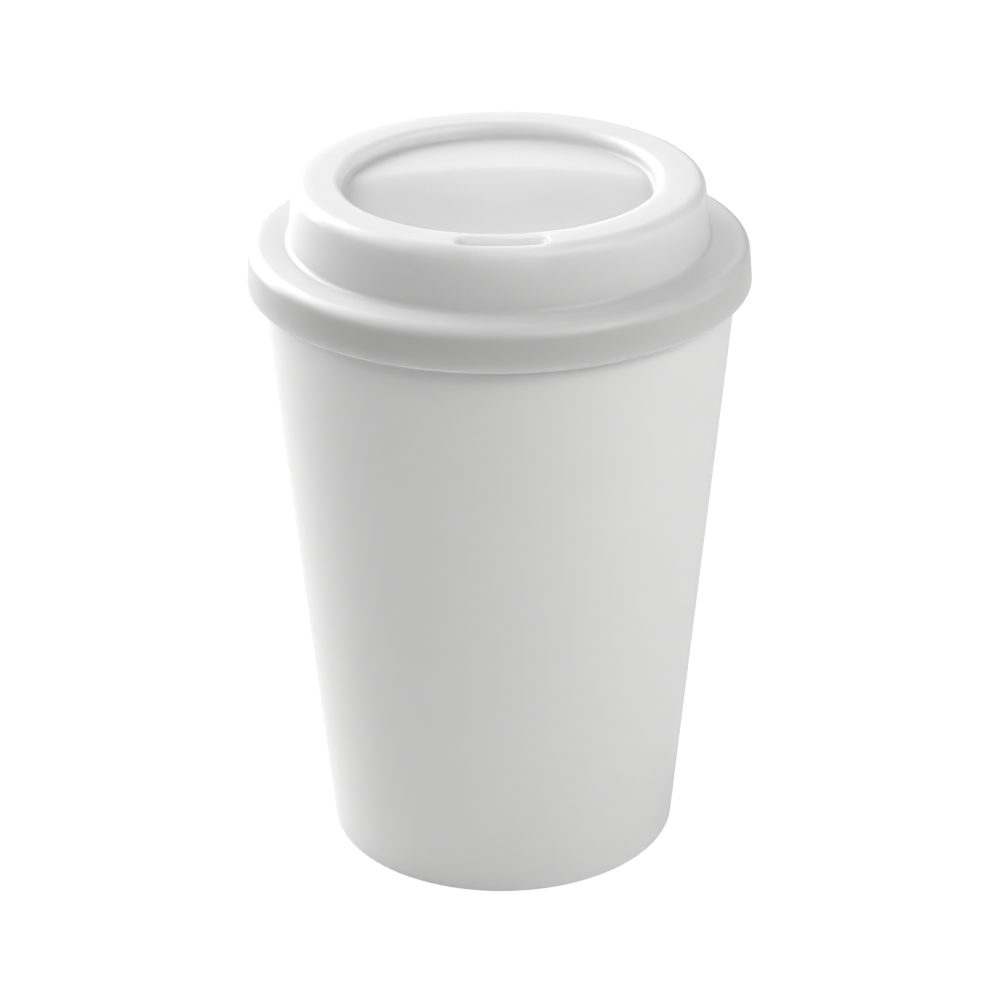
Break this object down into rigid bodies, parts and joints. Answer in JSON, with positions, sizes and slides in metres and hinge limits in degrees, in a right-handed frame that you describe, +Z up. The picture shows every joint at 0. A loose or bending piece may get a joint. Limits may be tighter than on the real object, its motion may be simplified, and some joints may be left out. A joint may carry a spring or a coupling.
{
  "type": "insulated travel cup",
  "caption": "Tapered double-wall drinking cup with a screw-on lid that has an overhanging band, a raised ring, a scooped recess and a curved drinking slot.",
  "frame": {"origin": "centre of the foot's standing ring, on the plane that the cup stands on", "axes": "+Z up along the cup's axis, -Y towards the drinking slot with the lid screwed on, +X to the right seen from the slot's side"},
  "size_m": [0.0944, 0.0944, 0.1341],
  "materials": {
    "shell_plastic": "white, satin moulded plastic",
    "liner_plastic": "white, satin moulded plastic",
    "seal_rubber": "translucent pale silicone, matte",
    "lid_plastic": "white, satin moulded plastic"
  },
  "bodies": {
    "cup": {"outer_shell": "shell_plastic", "inner_liner": "liner_plastic"},
    "seal": {"lid_seal": "seal_rubber"},
    "lid": {"lid": "lid_plastic"}
  },
  "joints": [
    {"name": "lid_lift", "type": "slide", "parent": "cup", "child": "seal", "axis": [0, 0, 1], "range_m": [0, 0.008]},
    {"name": "lid_turn", "type": "hinge", "parent": "seal", "child": "lid", "pos_m": [0, 0, 0.12], "axis": [0, 0, 1], "range_deg": [0, 360]}
  ],
  "couplings": [
    {"joint": "lid_lift", "follows": "lid_turn", "m_per_rad": 0.0012732}
  ]
}
